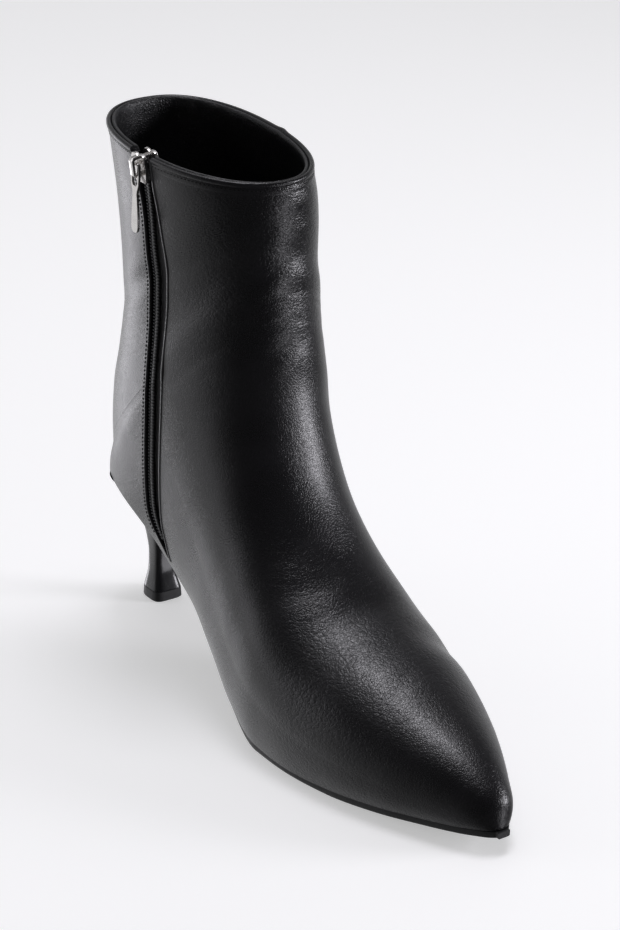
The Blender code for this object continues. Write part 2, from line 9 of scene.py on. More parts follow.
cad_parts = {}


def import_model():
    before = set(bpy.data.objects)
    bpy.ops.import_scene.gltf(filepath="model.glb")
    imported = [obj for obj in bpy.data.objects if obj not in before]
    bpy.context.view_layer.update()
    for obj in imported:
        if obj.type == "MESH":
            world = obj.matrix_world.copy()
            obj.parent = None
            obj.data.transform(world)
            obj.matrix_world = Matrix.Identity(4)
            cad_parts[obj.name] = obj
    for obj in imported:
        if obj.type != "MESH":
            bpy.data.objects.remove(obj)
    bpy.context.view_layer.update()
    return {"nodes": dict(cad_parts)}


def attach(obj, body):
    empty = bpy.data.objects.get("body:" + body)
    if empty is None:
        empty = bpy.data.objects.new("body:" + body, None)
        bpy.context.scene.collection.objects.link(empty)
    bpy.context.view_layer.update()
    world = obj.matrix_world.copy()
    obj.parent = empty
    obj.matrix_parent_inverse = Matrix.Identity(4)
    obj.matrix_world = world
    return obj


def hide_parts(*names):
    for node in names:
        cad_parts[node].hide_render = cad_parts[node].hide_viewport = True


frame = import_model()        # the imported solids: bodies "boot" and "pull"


# Camera. It stands where the photographer stood, above and in front of the inner side of the
# left boot, and is aimed at this boot alone.
camera_place = Vector((-0.48756, -0.66973, 0.4666))
photo_heading = Vector((0.540, 0.8415, 0.0)).normalized()
photo_pitch = math.radians(27.3)
photo_roll = math.radians(0.6)
boot_in_photo = (100 / 1900, 111.5 / 1900)
level_right = Vector((photo_heading.y, -photo_heading.x, 0.0))
ahead = photo_heading * math.cos(photo_pitch) - Vector((0, 0, math.sin(photo_pitch)))
level_up = level_right.cross(ahead)
right = level_right * math.cos(photo_roll) + level_up * math.sin(photo_roll)
up = right.cross(ahead)
aim = (ahead + right * boot_in_photo[0] + up * boot_in_photo[1]).normalized()
right = (right - aim * right.dot(aim)).normalized()
camera = bpy.data.objects.new("camera", bpy.data.cameras.new("camera"))
bpy.context.scene.collection.objects.link(camera)
camera.matrix_world = Matrix.Translation(camera_place) @ Matrix(
    (right, right.cross(aim), -aim)).transposed().to_4x4()
camera.data.lens = 95.0
camera.data.sensor_width = 36.0
camera.data.clip_start = 0.01
bpy.context.scene.camera = camera


# Studio. A plain pale floor that glows a little, softboxes on the outer side and overhead,
# weaker ones behind the zip side and the heel, a wide sheet over the back of the floor, and a
# pale surround that is brighter behind the boot than in front of it.
class Reading:
    """A shader socket in an expression: its operators add the Math nodes."""

    def __init__(self, finish, socket):
        self.finish, self.socket = finish, socket

    def maths(self, operation, *others, swap=False):
        node = self.finish.tree.nodes.new("ShaderNodeMath")
        node.operation = operation
        values = [self, *others]
        if swap:
            values = values[::-1]
        for place, value in zip(node.inputs, values):
            self.finish.feed(place, value)
        return Reading(self.finish, node.outputs[0])

    def __add__(self, other):
        return self.maths("ADD", other)

    __radd__ = __add__

    def __sub__(self, other):
        return self.maths("SUBTRACT", other)

    def __rsub__(self, other):
        return self.maths("SUBTRACT", other, swap=True)

    def __mul__(self, other):
        return self.maths("MULTIPLY", other)

    __rmul__ = __mul__

    def sine(self):
        return self.maths("SINE")

    def size(self):
        return self.maths("ABSOLUTE")

    def ramp(self, low, high, start=0.0, end=1.0):
        node = self.finish.node(
            "ShaderNodeMapRange",
            {"Value": self, "From Min": low, "From Max": high, "To Min": start, "To Max": end},
            interpolation_type="SMOOTHSTEP",
        )
        return Reading(self.finish, node.outputs[0])


class Finish:
    """A material in the making."""

    def __init__(self, name, colour, roughness, **uniform):
        self.material = bpy.data.materials.new(name)
        self.material.use_nodes = True
        self.material.diffuse_color = (*colour, 1.0)
        self.tree = self.material.node_tree
        self.shader = self.tree.nodes["Principled BSDF"]
        self.shader.inputs["Base Color"].default_value = (*colour, 1.0)
        self.shader.inputs["Roughness"].default_value = roughness
        for name, value in uniform.items():
            self.shader.inputs[name.replace("_", " ")].default_value = value

    def node(self, kind, inputs=None, **settings):
        made = self.tree.nodes.new(kind)
        for name, value in settings.items():
            setattr(made, name, value)
        for name, value in (inputs or {}).items():
            self.feed(made.inputs[name], value)
        return made

    def feed(self, socket, value):
        if isinstance(value, Reading):
            self.tree.links.new(value.socket, socket)
        else:
            socket.default_value = value

    def place(self, scale=(1.0, 1.0, 1.0), turn=(0.0, 0.0, 0.0), uv=False):
        """Object coordinates in millimetres, or the piece's UV map."""
        source = self.node("ShaderNodeTexCoord").outputs["UV" if uv else "Object"]
        size = tuple(1000.0 * s for s in scale)
        mapping = self.node(
            "ShaderNodeMapping", {"Vector": Reading(self, source), "Scale": size, "Rotation": turn})
        return Reading(self, mapping.outputs[0])

    def noise(self, place, size, detail=2.0, roughness=0.5):
        node = self.node("ShaderNodeTexNoise", {
            "Vector": place, "Scale": 1.0 / size, "Detail": detail, "Roughness": roughness})
        return Reading(self, node.outputs[0])

    def cells(self, place, size, feature="F1"):
        node = self.node(
            "ShaderNodeTexVoronoi", {"Vector": place, "Scale": 1.0 / size}, feature=feature)
        return Reading(self, node.outputs["Distance"])

    def bent(self, place, size, amount):
        """The place pushed about by a noise, so that a pattern on it wanders."""
        noise = self.node("ShaderNodeTexNoise", {"Vector": place, "Scale": 1.0 / size})
        centred = self.node("ShaderNodeVectorMath", operation="SUBTRACT")
        self.tree.links.new(noise.outputs["Color"], centred.inputs[0])
        centred.inputs[1].default_value = (0.5, 0.5, 0.5)
        scaled = self.node("ShaderNodeVectorMath", operation="MULTIPLY")
        self.tree.links.new(centred.outputs[0], scaled.inputs[0])
        scaled.inputs[1].default_value = (amount,) * 3
        moved = self.node("ShaderNodeVectorMath", operation="ADD")
        self.tree.links.new(scaled.outputs[0], moved.inputs[0])
        self.tree.links.new(place.socket, moved.inputs[1])
        return Reading(self, moved.outputs[0])

    def attribute(self, name):
        node = self.node("ShaderNodeAttribute", attribute_name=name)
        return Reading(self, node.outputs["Fac"])

    def between(self, share, first, second):
        """A colour part of the way from the first to the second."""
        node = self.node("ShaderNodeMix", data_type="RGBA")
        self.feed(node.inputs[0], share)
        self.feed(node.inputs[6], (*first, 1.0) if isinstance(first, tuple) else first)
        self.feed(node.inputs[7], (*second, 1.0) if isinstance(second, tuple) else second)
        return Reading(self, node.outputs[2])

    def finish(self, colour=None, roughness=None, height=None, depth=0.1):
        """Feeds the shader; the height is turned into a bump of a depth in millimetres."""
        if colour is not None:
            self.feed(self.shader.inputs["Base Color"], colour)
        if roughness is not None:
            self.feed(self.shader.inputs["Roughness"], roughness)
        if height is not None:
            bump = self.node("ShaderNodeBump", {
                "Height": height, "Strength": 1.0, "Distance": depth / 1000})
            self.tree.links.new(bump.outputs[0], self.shader.inputs["Normal"])
        return self.material


FLOOR_REACH, FLOOR_GLOW, MOTTLE_SIZE = 6.0, 0.42, 900.0
floor_paint = Finish("floor_paint", (0.75, 0.75, 0.75), 0.6, Emission_Strength=FLOOR_GLOW)
floor_paint.shader.inputs["Emission Color"].default_value = (1.0, 1.0, 1.0, 1.0)
floor_mottle = floor_paint.noise(floor_paint.place(), MOTTLE_SIZE)
floor_paint.finish(
    colour=floor_paint.between(floor_mottle, (0.745, 0.745, 0.745), (0.755, 0.755, 0.755)))
floor_shape = bmesh.new()
bmesh.ops.create_grid(floor_shape, x_segments=1, y_segments=1, size=FLOOR_REACH)
floor_mesh = bpy.data.meshes.new("floor")
floor_shape.to_mesh(floor_mesh)
floor_shape.free()
floor_mesh.materials.append(floor_paint.material)
floor = bpy.data.objects.new("floor", floor_mesh)
floor.visible_glossy = False
floor.visible_shadow = False
bpy.context.scene.collection.objects.link(floor)

LAMP_COLOUR = (0.955, 0.942, 1.0)
SoftLight = namedtuple("SoftLight", "name place aim width height watts")
for light in (
    SoftLight("outer main softbox", (1.12, -0.75, 0.38), (0.0, 0.0, 0.12), 0.44, 0.46, 11.0),
    SoftLight("outer low softbox", (0.75, -1.08, -0.42), (0.0, 0.0, 0.18), 0.42, 0.60, 3.2),
    SoftLight("top softbox", (0.18, 0.16, 1.60), (0.0, -0.06, 0.04), 0.46, 0.46, 8.0),
    SoftLight("zip side softbox", (-1.3, 1.0, 0.45), (0.0, 0.03, 0.1), 0.8, 0.9, 2.4),
    SoftLight("heel card", (-0.30, 1.42, -0.30), (0.0, 0.08, 0.12), 0.45, 0.50, 2.2),
    SoftLight("overhead sheet", (0.2, 1.0, 2.4), (0.2, 0.9, 0.0), 2.6, 2.6, 12.0),
):
    lamp = bpy.data.lights.new(light.name, "AREA")
    lamp.shape = "RECTANGLE"
    lamp.size, lamp.size_y, lamp.energy = light.width, light.height, light.watts
    lamp.color = LAMP_COLOUR
    holder = bpy.data.objects.new(light.name, lamp)
    holder.location = light.place
    heading = Vector(light.aim) - Vector(light.place)
    holder.rotation_euler = heading.to_track_quat("-Z", "Y").to_euler()
    bpy.context.scene.collection.objects.link(holder)

SKY_COLOUR, SKY_FLOOR = (0.95, 0.95, 0.97, 1.0), 0.06
studio = bpy.data.worlds.new("studio")
studio.use_nodes = True
sky = studio.node_tree.nodes["Background"]
bearing = studio.node_tree.nodes.new("ShaderNodeTexCoord")
parts = studio.node_tree.nodes.new("ShaderNodeSeparateXYZ")
levels = []
for axis, edges in (("Y", (-0.35, 0.85, 0.0, 0.85)), ("Z", (-0.1, 0.5, 1.0, 0.25))):
    level = studio.node_tree.nodes.new("ShaderNodeMapRange")
    level.interpolation_type = "SMOOTHSTEP"
    for socket, value in zip(("From Min", "From Max", "To Min", "To Max"), edges):
        level.inputs[socket].default_value = value
    studio.node_tree.links.new(parts.outputs[axis], level.inputs["Value"])
    levels.append(level.outputs[0])
card = studio.node_tree.nodes.new("ShaderNodeMath")
card.operation = "MULTIPLY_ADD"
for socket, output in zip(card.inputs, levels):
    studio.node_tree.links.new(output, socket)
card.inputs[2].default_value = SKY_FLOOR
studio.node_tree.links.new(bearing.outputs["Generated"], parts.inputs[0])
studio.node_tree.links.new(card.outputs[0], sky.inputs["Strength"])
sky.inputs["Color"].default_value = SKY_COLOUR
bpy.context.scene.world = studio
bpy.context.scene.view_settings.view_transform = "Standard"


# Upper. Two panels of black grained leather, a front and a back one, pulled over the last and
# turned in under the insole. They are closed by a seam down the outer side and by the zip on
# the inner side, and lined with dark pebbled leather. Sizes are in millimetres; "forward" is
# measured from the back of the heel seat, as in the part's source, whose table this repeats.
MM = 0.001
LENGTH, BALL_WIDTH, INSTEP_HEIGHT, SEAT_HEIGHT, TOE_SWING = 247.0, 80.0, 110.0, 60.0, -4.5
WALL, TIP_WALL, COLLAR_WALL, GAP, LASTING_MARGIN = 1.8, 0.9, 3.0, 0.3, 4.0
ORIGIN_FORWARD, ORIGIN_SIDE = 124.97, -1.54
Section = namedtuple(
    "Section",
    "ridge_along ridge_up base_along base_up feather_in feather_out wide_in wide_out belly shift",
)
SECTIONS = [
    Section(100.0, 11.0, 100.0, 14.7, 0.0, 0.0, 0.0, 0.0, 0.36, 0.0),
    Section(99.6, 15.5, 99.4, 14.2, 5.0, 5.0, 5.7, 5.7, 0.36, 0.0),
    Section(98.4, 19.0, 97.6, 13.4, 10.0, 9.3, 11.4, 10.3, 0.36, 0.0),
    Section(95.5, 23.4, 94.7, 11.7, 15.6, 14.2, 17.5, 15.1, 0.35, 0.0),
    Section(91.1, 28.3, 89.9, 9.4, 23.1, 21.3, 25.6, 22.6, 0.34, 0.0),
    Section(84.2, 34.1, 83.4, 6.7, 32.5, 30.4, 35.6, 32.6, 0.33, -1.0),
    Section(76.1, 41.0, 75.7, 4.7, 41.3, 39.1, 44.4, 41.1, 0.32, -2.0),
    Section(65.9, 48.5, 67.2, 3.7, 47.5, 45.1, 50.0, 46.9, 0.32, -3.0),
    Section(59.2, 57.7, 58.7, 4.5, 48.8, 47.9, 51.3, 48.2, 0.33, -4.0),
    Section(53.5, 69.7, 49.4, 13.9, 43.8, 45.8, 48.1, 45.2, 0.35, -4.0),
    Section(49.0, 83.0, 40.5, 33.8, 37.5, 39.9, 44.4, 41.0, 0.38, -3.0),
    Section(45.8, 97.2, 32.4, 55.0, 33.7, 35.6, 41.9, 39.6, 0.41, -2.0),
    Section(43.5, 111.7, 24.3, 74.0, 33.7, 35.2, 40.7, 40.3, 0.43, -1.0),
    Section(42.3, 124.2, 16.2, 90.5, 35.0, 36.2, 40.0, 42.6, 0.46, 0.0),
    Section(41.6, 133.0, 8.1, 98.5, 31.2, 33.4, 39.4, 43.9, 0.50, 0.0),
    Section(41.3, 137.0, 3.5, 100.5, 24.0, 26.9, 39.1, 44.3, 0.52, 0.0),
    Section(41.1, 140.5, 1.4, 101.2, 10.7, 10.7, 38.9, 44.6, 0.54, 0.0),
    Section(41.0, 143.5, 1.0, 101.5, 0.0, 0.0, 38.7, 44.8, 0.55, 0.0),
    Section(40.8, 148.0, 0.5, 125.0, 0.0, 0.0, 37.4, 45.0, 0.53, 0.0),
    Section(40.6, 153.0, 0.7, 150.0, 0.0, 0.0, 36.0, 44.3, 0.51, 0.0),
    Section(40.5, 158.0, 2.3, 180.0, 0.0, 0.0, 35.0, 43.1, 0.50, 0.0),
    Section(40.6, 163.8, 3.9, 213.0, 0.0, 0.0, 34.9, 41.8, 0.49, 0.0),
    Section(40.7, 169.7, 4.1, 250.0, 0.0, 0.0, 36.9, 41.0, 0.50, 0.0),
    Section(40.8, 175.7, 3.3, 297.0, 0.0, 0.0, 39.0, 39.4, 0.50, 0.0),
    Section(40.4, 183.5, 1.9, 350.1, 0.0, 0.0, 42.8, 36.2, 0.50, 0.0),
]
SEAT_BACK = 17
COLLAR = len(SECTIONS) - 1
UPPER_ROUND, LOWER_ROUND = 2.1, 2.3
FINE_ROWS, FINE_COLUMNS = 8, 90


def scale_of(name):
    """What a column's percentages are measured in, in millimetres for one percent."""
    if name.endswith("along"):
        return LENGTH / 100
    if name == "ridge_up":
        return INSTEP_HEIGHT / 100
    if name == "base_up":
        return SEAT_HEIGHT / 100
    return BALL_WIDTH / 100 if name.startswith(("feather", "wide")) else 1.0


def smooth_through(values, first):
    """A smooth curve through values at the whole numbers from first on, that never overshoots."""
    steps = np.diff(values)
    slopes = np.concatenate([steps[:1], (steps[:-1] + steps[1:]) / 2, steps[-1:]])
    flattest = 3 * np.minimum(abs(steps[:-1]), abs(steps[1:]))
    slopes[1:-1] = np.clip(slopes[1:-1], -flattest, flattest)
    slopes[1:-1][steps[:-1] * steps[1:] <= 0] = 0.0

    def at(place):
        i = np.clip(np.floor(np.asarray(place) - first).astype(int), 0, len(steps) - 1)
        u = np.asarray(place) - first - i
        turn = (1 - u) ** 2 * u * slopes[i] - (1 - u) * u**2 * slopes[i + 1]
        return values[i] + (3 - 2 * u) * u**2 * steps[i] + turn

    return at


def column_curve(name):
    """One column of the sections as a smooth curve; the toe tip and the seat's back are mirrored."""
    values = np.array([getattr(section, name) for section in SECTIONS]) * scale_of(name)
    before = values[2:0:-1]
    if name.startswith(("feather", "wide")):
        before = -before
    elif name.endswith("up"):
        before = 2 * values[0] - before
    if name.startswith("feather"):
        values = np.concatenate([values[:SEAT_BACK + 1], -values[SEAT_BACK - 1:SEAT_BACK - 3:-1]])
    return smooth_through(np.concatenate([before, values]), -2)


CURVES = {name: column_curve(name) for name in Section._fields}


def section_at(place):
    """The section at a place between the rows, in millimetres."""
    found = {name: curve(place) for name, curve in CURVES.items()}
    for name in ("feather_in", "feather_out"):
        found[name] = np.where(place < SEAT_BACK, np.maximum(found[name], 0.0), 0.0)
    return Section(**found)


def swing(forward):
    """How far the toe turns towards the other foot."""
    return TOE_SWING * max((forward - 120.0) / (LENGTH - 120.0), 0.0) ** 2


def half_width(section, share, side):
    """Half width of a section at a share of the way from base to ridge."""
    wide = section.wide_in if side < 0 else section.wide_out
    feather = section.feather_in if side < 0 else section.feather_out
    wide = max(wide, 1e-6)
    if share >= section.belly:
        rise = (share - section.belly) / (1 - section.belly)
        return wide * max(1 - rise**UPPER_ROUND, 0.0) ** (1 / UPPER_ROUND)
    depth = section.belly / (1 - min(feather / wide, 0.98) ** LOWER_ROUND) ** (1 / LOWER_ROUND)
    return wide * max(1 - ((section.belly - share) / depth) ** LOWER_ROUND, 0.0) ** (1 / LOWER_ROUND)


def skin_point(section, share, side):
    """A point of the last's surface as side, forward and height."""
    lift = max((share - section.belly) / (1 - section.belly), 0.0)
    forward = section.base_along + share * (section.ridge_along - section.base_along)
    height = section.base_up + share * (section.ridge_up - section.base_up)
    across = side * half_width(section, share, side) + section.shift * lift + swing(forward)
    return np.array([across, forward, height])


def section_shares(section, side, columns):
    """Shares from ridge to sole edge at even turns of the section's curve."""
    wide = max(section.wide_in if side < 0 else section.wide_out, 1e-6)
    feather = section.feather_in if side < 0 else section.feather_out
    turn = math.acos(min(feather / wide, 0.98) ** (LOWER_ROUND / 2))
    depth = section.belly / math.sin(turn) ** (2 / LOWER_ROUND)
    shares = []
    for angle in np.linspace(math.pi / 2, -turn, columns + 1):
        if angle >= 0:
            rise = math.sin(angle) ** (2 / UPPER_ROUND)
            shares.append(section.belly + (1 - section.belly) * rise)
        else:
            shares.append(section.belly - depth * abs(math.sin(angle)) ** (2 / LOWER_ROUND))
    shares[-1] = 0.0
    return shares


FINE_PLACES = np.linspace(0, COLLAR, 700)
FINE = section_at(FINE_PLACES)
FOOT_PART = FINE_PLACES <= SEAT_BACK


def base_height(forward, lift=0.0):
    """Height of the last's bottom at a place along the foot, lifted square to its slope."""
    along, rise = FINE.base_along[FOOT_PART][::-1], FINE.base_up[FOOT_PART][::-1]
    slope = (np.interp(forward + 1, along, rise) - np.interp(forward - 1, along, rise)) / 2
    return float(np.interp(forward, along, rise)) + lift * math.hypot(1, slope)


def sole_edge(place, side, inset):
    """A point of the sole's edge line, moved inwards in plan, as side and forward."""
    step = 0.02
    ends = []
    for at in (max(place - step, 0.0), min(place + step, SEAT_BACK)):
        section = section_at(at)
        feather = float(section.feather_in if side < 0 else section.feather_out)
        ends.append(np.array([side * feather + swing(section.base_along), section.base_along]))
    along = ends[1] - ends[0]
    along /= np.hypot(*along)
    inwards = np.array([along[1], -along[0]]) * side
    return (ends[0] + ends[1]) / 2 + inset * inwards


def wall_point(side, forward, height, outwards=0.0):
    """The point of the upper's face at a side-view place, moved outwards along its normal."""

    def face(along, rise):
        leaf = (FINE.ridge_along - FINE.base_along, FINE.ridge_up - FINE.base_up)
        turn = leaf[0] * (rise - FINE.base_up) - leaf[1] * (along - FINE.base_along)
        crossing = np.nonzero((turn[:-1] > 0) & (turn[1:] <= 0))[0]
        if not len(crossing):
            section = section_at(float(COLLAR))
            share = (along - section.base_along) / (section.ridge_along - section.base_along)
            return skin_point(section, share, side)[0]
        i = crossing[-1]
        step = turn[i] / (turn[i] - turn[i + 1])
        section = section_at(float(FINE_PLACES[i] + step * (FINE_PLACES[i + 1] - FINE_PLACES[i])))
        share = (rise - section.base_up) / (section.ridge_up - section.base_up)
        if abs(section.ridge_up - section.base_up) < abs(section.ridge_along - section.base_along):
            share = (along - section.base_along) / (section.ridge_along - section.base_along)
        return skin_point(section, share, side)[0]

    across = face(forward, height)
    slope_forward = (face(forward + 1, height) - face(forward - 1, height)) / 2
    slope_up = (face(forward, height + 1) - face(forward, height - 1)) / 2
    normal = np.array([1.0, -slope_forward, -slope_up]) * side
    normal /= np.linalg.norm(normal)
    return np.array([across, forward, height]) + outwards * normal


LINE_FORWARD, LINE_FOOT_HEIGHT, LINE_BEND, LINE_BEND_LENGTH = 57.7, 45.0, 9.3, 18.0
LINE_LEAN, LINE_LEAN_START, LINE_LEAN_LENGTH = 2.4, 100.0, 45.0


def line_forward(height):
    """Forward place of the zip's middle, and of the outer seam, at a height."""
    into_bend = np.clip(1 - (height - LINE_FOOT_HEIGHT) / LINE_BEND_LENGTH, 0.0, 2.0)
    into_lean = np.clip((height - LINE_LEAN_START) / LINE_LEAN_LENGTH, 0.0, 1.0)
    lean = LINE_LEAN * (3 - 2 * into_lean) * into_lean**2
    return LINE_FORWARD + LINE_BEND * into_bend**2 - lean


def world(points):
    """Side, forward and height in millimetres as world places in metres."""
    points = np.asarray(points, dtype=float)
    return np.stack([(points[..., 0] - ORIGIN_SIDE) * MM, (ORIGIN_FORWARD - points[..., 1]) * MM,
                     points[..., 2] * MM], axis=-1)


def new_piece(name, shape, finishes, sharp=35.0):
    """Welds a shape, turns its faces outwards and makes it an object at the origin."""
    bmesh.ops.remove_doubles(shape, verts=shape.verts, dist=0.01 * MM)
    bmesh.ops.dissolve_degenerate(shape, edges=shape.edges, dist=0.01 * MM)
    bmesh.ops.recalc_face_normals(shape, faces=shape.faces)
    if shape.calc_volume(signed=True) < 0:
        bmesh.ops.reverse_faces(shape, faces=shape.faces)
    mesh = bpy.data.meshes.new(name)
    shape.to_mesh(mesh)
    shape.free()
    for finish in finishes:
        mesh.materials.append(finish)
    mesh.shade_smooth()
    mesh.set_sharp_from_angle(angle=math.radians(sharp))
    made = bpy.data.objects.new(name, mesh)
    bpy.context.scene.collection.objects.link(made)
    return made


def settle(piece, name):
    """The piece with its modifiers applied, as a plain mesh of its own."""
    seen = piece.evaluated_get(bpy.context.evaluated_depsgraph_get())
    mesh = bpy.data.meshes.new_from_object(seen)
    bpy.data.objects.remove(piece)
    mesh.name = name
    made = bpy.data.objects.new(name, mesh)
    bpy.context.scene.collection.objects.link(made)
    return made


def ease(places, grid, spread=6.5, reach=20.0):
    """Rounds the grid along its columns where the leaves turn round the heel's back."""
    turn_row = int(np.argmin(abs(places - SEAT_BACK)))
    eased = grid.copy()
    columns = grid.shape[1]
    for j in range(columns):
        off_edge = min(j, columns - 1 - j) / (columns - 1) * 2
        strength = min(max((off_edge - 0.02) / 0.12, 0.0), 1.0)
        line = grid[:, j]
        steps = np.linalg.norm(np.diff(line, axis=0), axis=1)
        along = np.concatenate([[0.0], np.cumsum(steps)])
        along -= along[turn_row]
        shares = np.gradient(along) + 1e-6
        fade = np.clip(1 - abs(along) / reach, 0.0, 1.0)
        width = spread * strength * fade**2 * (3 - 2 * fade) + 1e-3
        for i in np.nonzero(width > 0.05)[0]:
            weights = np.exp(-0.5 * ((along - along[i]) / width[i]) ** 2) * shares
            eased[i, j] = weights @ line / weights.sum()
    return eased


# The main creases: soft troughs across the front of the shaft and round the
# vamp. Row counts along the foot (0 toe, 24 collar), around runs from -1 at the sole edge or
# heel on the zip side over 0 at the ridge to 1 on the outer side.
Crease = namedtuple("Crease", "row around lean bow reach width depth")
CREASES = [
    Crease(19.9, 0.06, 1.2, -2.0, 0.27, 4.2, 0.50),
    Crease(17.2, 0.08, 1.8, -1.5, 0.27, 3.8, 0.50),
    Crease(22.3, 0.06, -1.5, 1.0, 0.20, 2.6, 0.20),
    Crease(18.7, -0.12, 2.2, 0.0, 0.18, 2.4, 0.20),
    Crease(15.2, 0.10, 2.6, -1.0, 0.22, 3.2, 0.25),
    Crease(13.3, 0.02, 1.4, -1.0, 0.24, 3.6, 0.25),
    Crease(7.3, 0.10, 1.0, -1.0, 0.30, 5.0, 0.45),
    Crease(6.6, 0.46, 0.3, -0.2, 0.34, 4.6, 0.60),
    Crease(8.1, -0.22, -1.4, 0.6, 0.26, 3.4, 0.25),
    Crease(5.7, -0.12, 1.6, 0.0, 0.22, 2.8, 0.20),
    Crease(21.2, -0.62, 0.8, 0.0, 0.22, 3.4, 0.30),
    Crease(18.3, 0.66, -1.2, 0.0, 0.22, 3.6, 0.25),
]


def crease_depth(places, around, grid):
    """How far each point of the grid lies below the smooth last."""
    pace = np.linalg.norm(np.gradient(grid, axis=0), axis=2) / np.gradient(places)[:, None]
    depth = np.zeros(pace.shape)
    for crease in CREASES:
        off = around[None, :] - crease.around
        centre = crease.row + crease.lean * off + crease.bow * off**2
        away = (places[:, None] - centre) * pace
        fade = np.clip(1 - (off / crease.reach) ** 2, 0.0, 1.0) ** 1.5
        trough = np.exp(-0.5 * (away / crease.width) ** 2)
        banks = np.exp(-0.5 * ((abs(away) - 2.1 * crease.width) / crease.width) ** 2)
        depth += crease.depth * fade * (trough - 0.45 * banks)
    return depth


UNDER_ROLL, ROLL_FOOT, WALL_IN_ROLL = 0.07, 0.12, 2.6
places = np.linspace(0, COLLAR - UNDER_ROLL, COLLAR * FINE_ROWS + 1)
around = np.linspace(-1, 1, 2 * FINE_COLUMNS + 1)
skin = []
for place in places:
    section = Section(*(float(value) for value in section_at(place)))
    inner, outer = [
        [skin_point(section, share, side) for share in section_shares(section, side, FINE_COLUMNS)]
        for side in (-1, 1)
    ]
    skin.append(inner[::-1] + outer[1:])
skin = ease(places, np.array(skin))
facing = np.cross(np.gradient(skin, axis=1), np.gradient(skin, axis=0))
facing /= np.maximum(np.linalg.norm(facing, axis=2, keepdims=True), 1e-9)
skin_middle = np.array([0.0, 60.0, 90.0])
if np.mean(np.sum(facing[60:150, 60:120] * (skin[60:150, 60:120] - skin_middle), axis=2)) < 0:
    facing = -facing
creased = skin - facing * crease_depth(places, around, skin)[:, :, None]

shape = bmesh.new()
wall_share = shape.verts.layers.deform.verify()
grid = []
for place, row in zip(places, creased):
    row = list(row)
    if place <= SEAT_BACK:
        for side, end in ((-1, 0), (1, len(row))):
            across, forward = sole_edge(place, side, LASTING_MARGIN)
            row.insert(end + (side > 0), np.array([across, forward, base_height(forward)]))
    wall = np.interp(
        place, (0, 3, COLLAR - 0.5, COLLAR - ROLL_FOOT), (TIP_WALL, WALL, WALL, WALL_IN_ROLL))
    verts = []
    for point in world(row):
        vert = shape.verts.new(point)
        vert[wall_share][0] = wall / COLLAR_WALL
        verts.append(vert)
    grid.append(verts)
for low, high in zip(grid, grid[1:]):
    if len(low) > len(high):
        low = low[1:-1]
    for i in range(len(low) - 1):
        shape.faces.new((low[i], low[i + 1], high[i + 1], high[i]))

leather = Finish("grained_leather", (0.0045, 0.0041, 0.0053), 0.27, Specular_IOR_Level=0.5)
here = leather.place()
flex = leather.attribute("flex")
patches = leather.noise(here, 30.0, 2.0).ramp(0.40, 0.66)
pebble = leather.cells(leather.bent(here, 1.7, 0.8), 0.9, "DISTANCE_TO_EDGE").ramp(0.0, 0.18)
pebble_bed = leather.bent(leather.place((0.8, 0.9, 1.2)), 3.2, 1.6)
broad_pebble = leather.cells(pebble_bed, 1.9, "DISTANCE_TO_EDGE").ramp(0.0, 0.26)
pores = leather.noise(here, 0.45, 2.0, 0.6)
drawn = leather.bent(leather.place((0.34, 0.9, 1.0), (0.5, 0.7, 0.3)), 7.0, 4.0)
hair_creases = ((leather.noise(drawn, 2.6, 2.0) - 0.5).size()).ramp(0.0, 0.035)
ripple = leather.noise(leather.bent(leather.place((0.45, 1.0, 1.5)), 8.0, 5.0), 3.0, 2.0)
seam = leather.attribute("seam")
groove = 1.0 - seam.size().ramp(0.0, 0.55)
panel = seam.ramp(0.1, 1.4)
grain = (
    pebble * 0.075 + broad_pebble * (flex * 0.13 + patches * 0.05) + pores * 0.05
    + hair_creases * (patches * 0.08 + flex * 0.03) + ripple * (flex * 0.38 + patches * 0.12)
    - groove * 2.4 + panel * 1.2
)
leather_tone = leather.between(patches, (0.0036, 0.0033, 0.0043), (0.0056, 0.0051, 0.0066))
upper_leather = leather.finish(
    colour=leather_tone,
    roughness=0.235 + pores * 0.07 + patches * 0.03,
    height=grain, depth=0.34)

lining = Finish("pebbled_lining", (0.005, 0.005, 0.006), 0.4, Specular_IOR_Level=0.5)
lining_at = lining.place()
lining_cells = lining.cells(lining.bent(lining_at, 1.8, 0.8), 1.0, "DISTANCE_TO_EDGE").ramp(0.0, 0.4)
lining_tone = lining.between(
    lining.noise(lining_at, 18.0).ramp(0.3, 0.7), (0.003, 0.003, 0.004), (0.006, 0.006, 0.007))
dark_lining = lining.finish(
    colour=lining_tone, roughness=0.36 + lining.noise(lining_at, 1.0) * 0.12,
    height=lining_cells, depth=0.12)

rough_upper = new_piece("upper shell", shape, [upper_leather, dark_lining], sharp=180.0)
rough_upper.vertex_groups.new(name="wall share")
thickness = rough_upper.modifiers.new("wall", "SOLIDIFY")
thickness.thickness = COLLAR_WALL * MM
thickness.offset = -1.0
thickness.use_even_offset = False
thickness.vertex_group = "wall share"
thickness.material_offset = 1
thickness.material_offset_rim = 1

SLOT_REAR, SLOT_FRONT = 3.2, 8.0
SLOT_FOOT_HEIGHT, SLOT_FOOT_LENGTH, SLOT_FOOT_AHEAD = 45.5, 12.0, 1.0
FOOT_SLANT, SLIDER_FOOT_HEIGHT, SLIDER_HALF = -0.43, 195.0, 4.4


